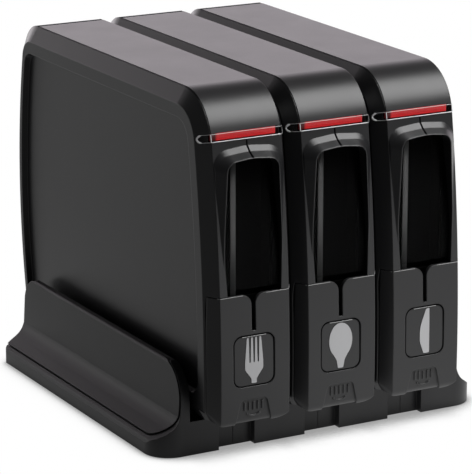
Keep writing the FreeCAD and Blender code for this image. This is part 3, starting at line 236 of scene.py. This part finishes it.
def build_moulded_tone():
    """Plastic colour that drifts a little, as moulded parts do, with some dust on level faces."""
    group, entry, leave = new_group(
        "moulded_tone",
        (
            ("Tone", "NodeSocketColor", (0.01, 0.01, 0.01, 1.0)),
            ("Drift", "NodeSocketFloat", 0.12),
            ("Dust", "NodeSocketFloat", 0.02),
        ),
        (("Colour", "NodeSocketColor"),),
    )
    place = add_node(group, "ShaderNodeTexCoord")
    drift = add_node(group, "ShaderNodeTexNoise", Scale=14.0, Detail=3.0, Roughness=0.6)
    scaled = add_node(group, "ShaderNodeMapRange", To_Min=-1.0)
    amount = add_node(group, "ShaderNodeMath", operation="MULTIPLY_ADD")
    amount.inputs[2].default_value = 1.0
    toned = add_node(group, "ShaderNodeVectorMath", operation="SCALE")
    surface = add_node(group, "ShaderNodeNewGeometry")
    level = add_node(group, "ShaderNodeMath", operation="POWER", use_clamp=True)
    level.inputs[1].default_value = DUST_LEVEL
    speck = add_node(group, "ShaderNodeTexNoise", Scale=900.0, Detail=2.0)
    settled = add_node(group, "ShaderNodeMix", data_type="RGBA")
    settled.inputs["B"].default_value = DUST_TONE
    link = group.links.new
    link(place.outputs["Object"], drift.inputs["Vector"])
    link(drift.outputs["Fac"], scaled.inputs["Value"])
    link(scaled.outputs["Result"], amount.inputs[0])
    link(entry.outputs["Drift"], amount.inputs[1])
    link(entry.outputs["Tone"], toned.inputs[0])
    link(amount.outputs[0], toned.inputs["Scale"])
    link(on_axis(group, surface.outputs["Normal"], "Z"), level.inputs[0])
    link(place.outputs["Object"], speck.inputs["Vector"])
    dusty = combined(group, "MULTIPLY", level.outputs[0], speck.outputs["Fac"])
    dust = combined(group, "MULTIPLY", dusty, entry.outputs["Dust"])
    link(dust, settled.inputs["Factor"])
    link(toned.outputs[0], settled.inputs["A"])
    link(settled.outputs["Result"], leave.inputs["Colour"])
    return group


def build_satin_wear():
    """Roughness that varies with the mould's polish and with faint marks from hands."""
    group, entry, leave = new_group(
        "satin_wear",
        (("Roughness", "NodeSocketFloat", 0.4), ("Spread", "NodeSocketFloat", 0.06)),
        (("Roughness", "NodeSocketFloat"),),
    )
    place = add_node(group, "ShaderNodeTexCoord")
    polish = add_node(group, "ShaderNodeTexNoise", Scale=35.0, Detail=4.0, Roughness=0.62)
    centred = add_node(group, "ShaderNodeMath", operation="SUBTRACT")
    centred.inputs[1].default_value = 0.5
    varied = add_node(group, "ShaderNodeMath", operation="MULTIPLY_ADD")
    link = group.links.new
    link(place.outputs["Object"], polish.inputs["Vector"])
    link(polish.outputs["Fac"], centred.inputs[0])
    link(centred.outputs[0], varied.inputs[0])
    link(entry.outputs["Spread"], varied.inputs[1])
    link(entry.outputs["Roughness"], varied.inputs[2])
    link(varied.outputs[0], leave.inputs["Roughness"])
    return group


def build_spark_grain():
    """Height of the fine eroded grain on moulded plastic."""
    group, entry, leave = new_group(
        "spark_grain",
        (("Grains per metre", "NodeSocketFloat", 2600.0), ("Flow", "NodeSocketFloat", 0.35)),
        (("Height", "NodeSocketFloat"),),
    )
    place = add_node(group, "ShaderNodeTexCoord")
    fine = add_node(group, "ShaderNodeTexNoise", Detail=2.0, Roughness=0.55)
    flow = add_node(group, "ShaderNodeTexNoise", Scale=120.0, Detail=1.0)
    summed = add_node(group, "ShaderNodeMath", operation="MULTIPLY_ADD")
    link = group.links.new
    link(place.outputs["Object"], fine.inputs["Vector"])
    link(entry.outputs["Grains per metre"], fine.inputs["Scale"])
    link(place.outputs["Object"], flow.inputs["Vector"])
    link(flow.outputs["Fac"], summed.inputs[0])
    link(entry.outputs["Flow"], summed.inputs[1])
    link(fine.outputs["Fac"], summed.inputs[2])
    link(summed.outputs[0], leave.inputs["Height"])
    return group


def build_eased_edges():
    """Normal that rounds a moulding's sharp edges a little, so that they catch the light."""
    group, entry, leave = new_group(
        "eased_edges",
        (("Radius", "NodeSocketFloat", 0.0006),),
        (("Normal", "NodeSocketVector"),),
    )
    bevel = add_node(group, "ShaderNodeBevel", samples=6)
    group.links.new(entry.outputs["Radius"], bevel.inputs["Radius"])
    group.links.new(bevel.outputs["Normal"], leave.inputs["Normal"])
    return group


def build_drawn_lines():
    """Height of the fine lines that drawing leaves along steel wire and rod."""
    group, entry, leave = new_group(
        "drawn_lines",
        (("Lines per metre", "NodeSocketFloat", 3000.0),),
        (("Height", "NodeSocketFloat"),),
    )
    place = add_node(group, "ShaderNodeTexCoord")
    stretch = add_node(group, "ShaderNodeVectorMath", operation="MULTIPLY")
    stretch.inputs[1].default_value = DRAWN_STRETCH
    lines = add_node(group, "ShaderNodeTexNoise", Detail=3.0)
    link = group.links.new
    link(place.outputs["Object"], stretch.inputs[0])
    link(stretch.outputs[0], lines.inputs["Vector"])
    link(entry.outputs["Lines per metre"], lines.inputs["Scale"])
    link(lines.outputs["Fac"], leave.inputs["Height"])
    return group


EFFECTS = {
    "moulded_tone": build_moulded_tone(),
    "satin_wear": build_satin_wear(),
    "spark_grain": build_spark_grain(),
    "eased_edges": build_eased_edges(),
    "drawn_lines": build_drawn_lines(),
}


def place_effect(material, effect, **values):
    """A shared effect in a material, with the material's own values."""
    node = material.node_tree.nodes.new("ShaderNodeGroup")
    node.node_tree = EFFECTS[effect]
    for name, value in values.items():
        node.inputs[name.replace("_", " ")].default_value = value
    return node


# ---------------------------------------------------------------- materials
def new_material(name):
    """A material and its own Principled shader."""
    material = bpy.data.materials.new(name)
    material.use_nodes = True
    return material, material.node_tree.nodes["Principled BSDF"]


def moulded_plastic(
    name, tone, roughness, drift=0.12, dust=0.02, grain=0.06, edge=0.0006, specular=0.5, painted_glow=0.0
):
    """Satin moulded plastic: drifting tone, varied polish, fine grain, eased edges and, where
    asked, a painted glow.
    """
    material, shader = new_material(name)
    # Emission in the plastic's own tone is a painted glow; the part is no lamp.
    shader.inputs["Emission Color"].default_value = (*tone, 1.0)
    shader.inputs["Emission Strength"].default_value = painted_glow
    shader.inputs["Specular IOR Level"].default_value = specular
    colour = place_effect(material, "moulded_tone", Tone=(*tone, 1.0), Drift=drift, Dust=dust)
    wear = place_effect(material, "satin_wear", Roughness=roughness)
    height = place_effect(material, "spark_grain")
    rounded = place_effect(material, "eased_edges", Radius=edge)
    tree = material.node_tree
    bump = add_node(tree, "ShaderNodeBump", Strength=grain, Distance=GRAIN_DEPTH)
    link = tree.links.new
    link(colour.outputs["Colour"], shader.inputs["Base Color"])
    link(wear.outputs["Roughness"], shader.inputs["Roughness"])
    link(height.outputs["Height"], bump.inputs["Height"])
    link(rounded.outputs["Normal"], bump.inputs["Normal"])
    link(bump.outputs["Normal"], shader.inputs["Normal"])
    return material


def clear_plastic(name, tint, roughness, alpha, specular=0.5):
    """Thin clear plastic: a low alpha lets most of the light straight past."""
    material, shader = new_material(name)
    shader.inputs["Base Color"].default_value = (*tint, 1.0)
    shader.inputs["IOR"].default_value = CLEAR_IOR
    shader.inputs["Alpha"].default_value = alpha
    shader.inputs["Specular IOR Level"].default_value = specular
    wear = place_effect(material, "satin_wear", Roughness=roughness, Spread=0.02)
    material.node_tree.links.new(wear.outputs["Roughness"], shader.inputs["Roughness"])
    return material


def steel(name, tone, roughness):
    """Drawn steel wire or rod."""
    material, shader = new_material(name)
    shader.inputs["Metallic"].default_value = 1.0
    shader.inputs["Roughness"].default_value = roughness
    colour = place_effect(material, "moulded_tone", Tone=(*tone, 1.0), Drift=0.08, Dust=0.0)
    lines = place_effect(material, "drawn_lines")
    tree = material.node_tree
    bump = add_node(tree, "ShaderNodeBump", Strength=0.1, Distance=DRAWN_DEPTH)
    link = tree.links.new
    link(colour.outputs["Colour"], shader.inputs["Base Color"])
    link(lines.outputs["Height"], bump.inputs["Height"])
    link(bump.outputs["Normal"], shader.inputs["Normal"])
    return material


MATERIALS = {
    "housing_plastic": moulded_plastic("housing_plastic", CHARCOAL, 0.32, edge=0.0009),
    "lid_plastic": moulded_plastic("lid_plastic", (0.015, 0.0145, 0.0155), 0.36),
    "lever_plastic": moulded_plastic(
        "lever_plastic", CHARCOAL, 0.42, edge=0.0012, specular=0.55
    ),
    "base_plastic": moulded_plastic("base_plastic", CHARCOAL, 0.38, specular=0.38),
    "inner_plastic": moulded_plastic(
        "inner_plastic", (0.0022, 0.0022, 0.0024), 0.7, grain=0.03, specular=0.02
    ),
    "icon_plate_plastic": moulded_plastic(
        "icon_plate_plastic", (0.010, 0.010, 0.011), 0.38, grain=0.02, edge=0.0011,
        specular=0.55,
    ),
    "pictogram_film": moulded_plastic(
        "pictogram_film", (0.49, 0.49, 0.50), 0.45, drift=0.04, dust=0.0, grain=0.01, edge=0.0001
    ),
    # The red flag has a painted glow that brightens it where the cap and lens shade it.
    "red_flag": moulded_plastic(
        "red_flag", (0.90, 0.026, 0.032), 0.3, drift=0.05, dust=0.0, grain=0.01, edge=0.0003,
        painted_glow=0.35,
    ),
    "clear_lens": clear_plastic("clear_lens", (0.02, 0.02, 0.02), 0.05, alpha=0.07),
    "smoked_pane": clear_plastic(
        "smoked_pane", (0.002, 0.002, 0.002), 0.12, alpha=0.18, specular=0.1
    ),
    "pin_steel": steel("pin_steel", (0.55, 0.55, 0.56), 0.3),
    "spring_steel": steel("spring_steel", (0.42, 0.42, 0.43), 0.35),
    "screw_steel": steel("screw_steel", (0.5, 0.5, 0.49), 0.32),
    "foot_rubber": moulded_plastic(
        "foot_rubber", (0.010, 0.010, 0.010), 0.75, grain=0.12, edge=0.0004
    ),
    # Light grey that paints a highlight on the guide rail behind the window.
    "guide_plastic": moulded_plastic(
        "guide_plastic", (0.20, 0.20, 0.20), 0.4, grain=0.02, edge=0.0003
    ),
    # Light grey that paints the highlights on the lever's and icon plate's edges.
    "edge_glint_paint": moulded_plastic(
        "edge_glint_paint", (0.36, 0.36, 0.36), 0.3, grain=0.02, edge=0.0001
    ),
    # Light grey that paints the highlights round the lens.
    "lens_edge_highlight": moulded_plastic(
        "lens_edge_highlight", (0.78, 0.78, 0.79), 0.15, drift=0.02, dust=0.0, grain=0.0, edge=0.0001
    ),
}


def paint_flag_end_shade():
    """Painted shade: the flag's colour and glow darken at its left end, where the lens's
    turned-back end shades it.
    """
    tree = MATERIALS["red_flag"].node_tree
    shader = tree.nodes["Principled BSDF"]
    colour = shader.inputs["Base Color"].links[0].from_socket
    place = add_node(tree, "ShaderNodeTexCoord")
    lit = eased(tree, on_axis(tree, place.outputs["Generated"], "X"), *FLAG_SHADE, FLAG_DARK, 1.0)
    toned = add_node(tree, "ShaderNodeVectorMath", operation="SCALE")
    tree.links.new(colour, toned.inputs[0])
    tree.links.new(lit, toned.inputs["Scale"])
    tree.links.new(toned.outputs[0], shader.inputs["Base Color"])
    tree.links.new(toned.outputs[0], shader.inputs["Emission Color"])


def dress_nodes():
    """Gives each solid the material of its slot."""
    for row in frame["record"]["subparts"]:
        for slot in NODES[row["node"]].material_slots:
            slot.material = MATERIALS[row["material_slot"]]


# ---------------------------------------------------------------- pieces of the looks
def add_mesh(name, form, material):
    """A smooth piece from a finished form, in one material."""
    mesh = bpy.data.meshes.new(name)
    form.to_mesh(mesh)
    form.free()
    piece = bpy.data.objects.new(name, mesh)
    bpy.context.scene.collection.objects.link(piece)
    mesh.materials.append(material)
    mesh.shade_smooth()
    return piece


def fine_line(name, lines, radius, material, body):
    """Thin round line through rows of places and widths; a closed row runs back to its start."""
    curve = bpy.data.curves.new(name, "CURVE")
    curve.dimensions = "3D"
    curve.bevel_depth = radius
    curve.bevel_resolution = LINE_ROUNDNESS
    for row, closed in lines:
        spline = curve.splines.new("POLY")
        spline.points.add(len(row) - 1)
        for point, (place, width) in zip(spline.points, row):
            point.co = (*place, 1.0)
            point.radius = width
        spline.use_cyclic_u = closed
    curve.materials.append(MATERIALS[material])
    piece = bpy.data.objects.new(name, curve)
    bpy.context.scene.collection.objects.link(piece)
    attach(piece, body)


def full_width(places):
    """Rows for a line that is as wide all along as its radius says."""
    return [(place, 1.0) for place in places]


def front_of(node, x, z):
    """Foremost place of a solid at a height and a distance to the side."""
    start = Vector((x, 2 * cad_bounds[0][1], z))
    found, place, _, _ = NODES[node].ray_cast(start, Vector((0.0, 1.0, 0.0)))
    return place if found else None


def guide_highlight_strip(kind, middle):
    """Painted highlight: a light-grey crowned facing on the guide rail that stands behind the
    window.
    """
    form = bmesh.new()
    width = RAIL_RIGHT - RAIL_LEFT
    section = [(0.0, 0.0)]
    for step in range(RAIL_STEPS + 1):
        share = step / RAIL_STEPS
        crown = math.sin(math.pi * (CROWN_START + CROWN_SPAN * share))
        section.append((share * width, -RAIL_PROUD * crown))
    section.append((width, 0.0))
    lower, upper = (
        [form.verts.new((middle + RAIL_LEFT + x, RAIL_FRONT_Y + y, z)) for x, y in section]
        for z in (RAIL_BOTTOM_Z, RAIL_TOP_Z)
    )
    for index in range(len(section) - 1):
        form.faces.new((lower[index], lower[index + 1], upper[index + 1], upper[index]))
    form.faces.new((lower[0], upper[0], upper[-1], lower[-1]))
    form.faces.new(lower[::-1])
    form.faces.new(upper)
    bmesh.ops.recalc_face_normals(form, faces=form.faces)
    piece = add_mesh(kind + "_guide_highlight_strip", form, MATERIALS["guide_plastic"])
    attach(piece, "housing")


def lens_path():
    """Points round the lens, just inside its outline, in the plane of its own band."""
    rise = (LENS_TOP_Z - LENS_BOTTOM_Z) / 2 - BEAD_INSET
    straight = LENS_HALF - BEAD_INSET - rise
    points = []
    for side in (1, -1):
        for step in range(BORDER_STEPS + 1):
            points.append((side * straight * (2 * step / BORDER_STEPS - 1), -side * rise))
        for step in range(1, ARC_STEPS):
            angle = math.pi * (step / ARC_STEPS - side / 2)
            points.append((side * straight + rise * math.cos(angle), rise * math.sin(angle)))
    return points


def highlight_bead_width(across, rise):
    """Widths of the painted highlight: full below, finer above, finest where the lens turns back,
    and broad round its left end.
    """
    if abs(across) < TURN_START:
        return BEAD_LOWER if rise < 0.0 else BEAD_UPPER
    return BEAD_LEFT_END if across < -END_START else BEAD_TURNED


def lens_highlight_bead(kind, middle):
    """Painted highlight: a fine light bead along the lens's border and down its left corner, laid
    on its front.
    """
    lens = NODES[kind + "_indicator_lens"]
    away = Vector((0.0, math.cos(LENS_TILT), -math.sin(LENS_TILT)))
    up = Vector((0.0, math.sin(LENS_TILT), math.cos(LENS_TILT)))
    centre = Vector((middle, LENS_FACE_Y, (LENS_BOTTOM_Z + LENS_TOP_Z) / 2))

    def on_lens(across, rise):
        start = centre + Vector((across, 0.0, 0.0)) + up * rise - away * LOOK_DISTANCE
        found, place, _, _ = lens.ray_cast(start, away)
        return place if found else None

    border = [(on_lens(*point), highlight_bead_width(*point)) for point in lens_path()]
    border = [(place, width) for place, width in border if place]
    face = on_lens(0.0, 0.0).y
    corner = next(
        step * CORNER_STEP - LENS_HALF
        for step in range(1, CORNER_TRIES)
        if abs(on_lens(step * CORNER_STEP - LENS_HALF, 0.0).y - face) < CORNER_LEVEL
    )
    tall = (LENS_TOP_Z - LENS_BOTTOM_Z) / 2 - BEAD_INSET
    corner_line = [(on_lens(corner, tall * share), CORNER_WIDTH) for share in CORNER_SHARES]
    lines = ((border, True), (corner_line, False))
    fine_line(kind + "_lens_highlight_bead", lines, BEAD_RADIUS, "lens_edge_highlight", "housing")


def hood_seam_shade(kind, middle):
    """Painted shade in the parting line between the two shells, a dark line from the lens down over
    the hood's brow.
    """
    places = []
    for step in range(SEAM_STEPS + 1):
        z = SEAM_TOP_Z + (SEAM_BOTTOM_Z - SEAM_TOP_Z) * step / SEAM_STEPS
        place = front_of(kind + "_left_shell", middle - SEAM_ASIDE, z)
        if place and place.y < SEAM_FRONT_SHARE * cad_bounds[0][1]:
            places.append((middle, place.y + SEAM_SINK, z))
    lines = ((full_width(places), False),)
    fine_line(
        kind + "_hood_seam_shade", lines, SEAM_RADIUS, "inner_plastic", "housing"
    )


def icon_groove_shade(kind):
    """Painted shade: a dark line in the groove round the icon plate."""
    low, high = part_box(kind + "_icon_plate")
    middle_x, middle_z = (low.x + high.x) / 2, (low.z + high.z) / 2
    straight_x = (high.x - low.x) / 2 + GROOVE_HALF - GROOVE_CORNER
    straight_z = (high.z - low.z) / 2 + GROOVE_HALF - GROOVE_CORNER
    places = []
    for quarter, (side, rise) in enumerate(((1, 1), (-1, 1), (-1, -1), (1, -1))):
        for step in range(GROOVE_STEPS + 1):
            angle = math.pi / 2 * (quarter + step / GROOVE_STEPS)
            places.append((
                middle_x + side * straight_x + GROOVE_CORNER * math.cos(angle),
                low.y + GROOVE_SINK,
                middle_z + rise * straight_z + GROOVE_CORNER * math.sin(angle),
            ))
    lines = ((full_width(places), True),)
    lever = kind + "_push_lever"
    fine_line(
        kind + "_icon_groove_shade", lines, GROOVE_HALF, "inner_plastic", lever
    )


def painted_edge_glints(kind, middle):
    """Painted highlights along the icon plate's top edge, and along the lever's on both sides of
    its notch.
    """
    low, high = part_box(kind + "_icon_plate")
    plate_top = high.z - SHINE_RADIUS
    ends = [(x, low.y, plate_top) for x in (low.x + GROOVE_CORNER, high.x - GROOVE_CORNER)]
    lines = [(full_width(ends), False)]
    lever_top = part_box(kind + "_lever")[1].z - SHINE_DROP
    for near, far in LEVER_TOP_RUNS:
        places = []
        for step in range(SHINE_STEPS + 1):
            across = near + (far - near) * step / SHINE_STEPS
            place = front_of(kind + "_lever", middle + across, lever_top)
            if place:
                places.append(place)
        lines.append((full_width(places), False))
    lever = kind + "_push_lever"
    fine_line(
        kind + "_painted_edge_glints", lines, SHINE_RADIUS, "edge_glint_paint", lever
    )


def return_coil(kind):
    """Return spring behind the gate: a coil of wire in place of the solid spring, which is hidden.
    """
    low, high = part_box(kind + "_return_spring")
    reach = (high.x - low.x) / 2 - COIL_WIRE
    middle_x, middle_z = (low.x + high.x) / 2, (low.z + high.z) / 2
    start, end = low.y + COIL_WIRE, high.y - COIL_WIRE
    form = bmesh.new()
    rings, steps = [], COIL_TURNS * COIL_STEPS
    for step in range(steps + 1):
        turn = 2 * math.pi * step / COIL_STEPS
        y = start + (end - start) * step / steps
        ring = []
        for part in range(COIL_SIDES):
            side = 2 * math.pi * part / COIL_SIDES
            radius = reach + COIL_WIRE * math.cos(side)
            ring.append(form.verts.new((
                middle_x + radius * math.cos(turn),
                y + COIL_WIRE * math.sin(side),
                middle_z + radius * math.sin(turn),
            )))
        rings.append(ring)
    for one, two in zip(rings, rings[1:]):
        for part in range(COIL_SIDES):
            after = (part + 1) % COIL_SIDES
            form.faces.new((one[part], one[after], two[after], two[part]))
    form.faces.new(rings[0][::-1])
    form.faces.new(rings[-1])
    bmesh.ops.recalc_face_normals(form, faces=form.faces)
    piece = add_mesh(kind + "_return_coil", form, MATERIALS["spring_steel"])
    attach(piece, "housing")
    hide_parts(kind + "_return_spring")
    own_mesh(piece)


# ---------------------------------------------------------------- studio
def softbox():
    """Large soft lamp above the front right, turned to the part's middle."""
    data = bpy.data.lights.new("softbox", "AREA")
    data.shape = "RECTANGLE"
    data.size, data.size_y = SOFTBOX_SIZE
    data.energy = SOFTBOX_POWER
    light = bpy.data.objects.new("softbox", data)
    bpy.context.scene.collection.objects.link(light)
    direction = Vector(SOFTBOX_TOWARD).normalized()
    light.location = Vector(PART_MIDDLE) + direction * SOFTBOX_DISTANCE
    light.rotation_euler = (-direction).to_track_quat("-Z", "Y").to_euler()


def pale_floor():
    """White sweep with a soft contact shadow; the part mirrors toned light from it."""
    material = bpy.data.materials.new("pale_floor")
    material.use_nodes = True
    tree = material.node_tree
    tree.nodes.clear()
    openness = add_node(
        tree, "ShaderNodeAmbientOcclusion", samples=CONTACT_SAMPLES, Distance=CONTACT_REACH
    )
    contact = eased(tree, openness.outputs["AO"], *CONTACT_SHADE, CONTACT_TONE, 1.0)
    place = add_node(tree, "ShaderNodeTexCoord").outputs["Object"]
    ramp = eased(tree, along(tree, place, FLOOR_LIGHT_TOWARD), *FLOOR_FADE, *FLOOR_TONES)
    behind = eased(tree, on_axis(tree, place, "Y"), *BEHIND_FADE, 0.0, BEHIND_TONE)
    lit = combined(tree, "MAXIMUM", ramp, behind)
    mirrored = add_node(tree, "ShaderNodeEmission")
    tree.links.new(combined(tree, "MULTIPLY", lit, contact), mirrored.inputs["Strength"])
    seen = add_node(tree, "ShaderNodeEmission")
    tree.links.new(contact, seen.inputs["Strength"])
    leave = add_node(tree, "ShaderNodeOutputMaterial")
    surface = seen_or_mirrored(tree, seen.outputs[0], mirrored.outputs[0])
    tree.links.new(surface, leave.inputs["Surface"])
    return material


def wall_glow(tree, toward, spread, heights, strength, colour):
    """Light from a pale wall that stands in one direction and reaches up to a height."""
    place = add_node(tree, "ShaderNodeTexCoord").outputs["Generated"]
    low = eased(tree, on_axis(tree, place, "Z"), *heights, strength, 0.0)
    facing = eased(tree, along(tree, place, toward), *spread)
    wall = add_node(tree, "ShaderNodeBackground", Color=colour)
    tree.links.new(combined(tree, "MULTIPLY", low, facing), wall.inputs["Strength"])
    return wall.outputs[0]


def studio_world():
    """White to the eye; the part mirrors two pale walls behind it and a dim room elsewhere."""
    world = bpy.data.worlds.new("studio")
    bpy.context.scene.world = world
    world.use_nodes = True
    tree = world.node_tree
    room = tree.nodes["Background"]
    room.inputs["Color"].default_value = WHITE
    room.inputs["Strength"].default_value = ROOM_STRENGTH
    lit = room.outputs[0]
    for wall in WALLS:
        added = add_node(tree, "ShaderNodeAddShader")
        tree.links.new(lit, added.inputs[0])
        tree.links.new(wall_glow(tree, *wall), added.inputs[1])
        lit = added.outputs[0]
    seen = add_node(tree, "ShaderNodeBackground", Color=WHITE)
    surface = seen_or_mirrored(tree, seen.outputs[0], lit)
    tree.links.new(surface, tree.nodes["World Output"].inputs["Surface"])


def build_studio():
    """Floor, lamp and surroundings, none of which belong to the part."""
    form = bmesh.new()
    bmesh.ops.create_grid(form, x_segments=1, y_segments=1, size=FLOOR_HALF)
    floor = add_mesh("floor", form, pale_floor())
    floor.location.z = cad_bounds[0][2]
    softbox()
    studio_world()
    bpy.context.scene.view_settings.view_transform = "Standard"


place_camera()
paint_flag_end_shade()
dress_nodes()
for kind in KINDS:
    middle = tower_middle(kind)
    guide_highlight_strip(kind, middle)
    lens_highlight_bead(kind, middle)
    hood_seam_shade(kind, middle)
    icon_groove_shade(kind)
    painted_edge_glints(kind, middle)
    return_coil(kind)
build_studio()
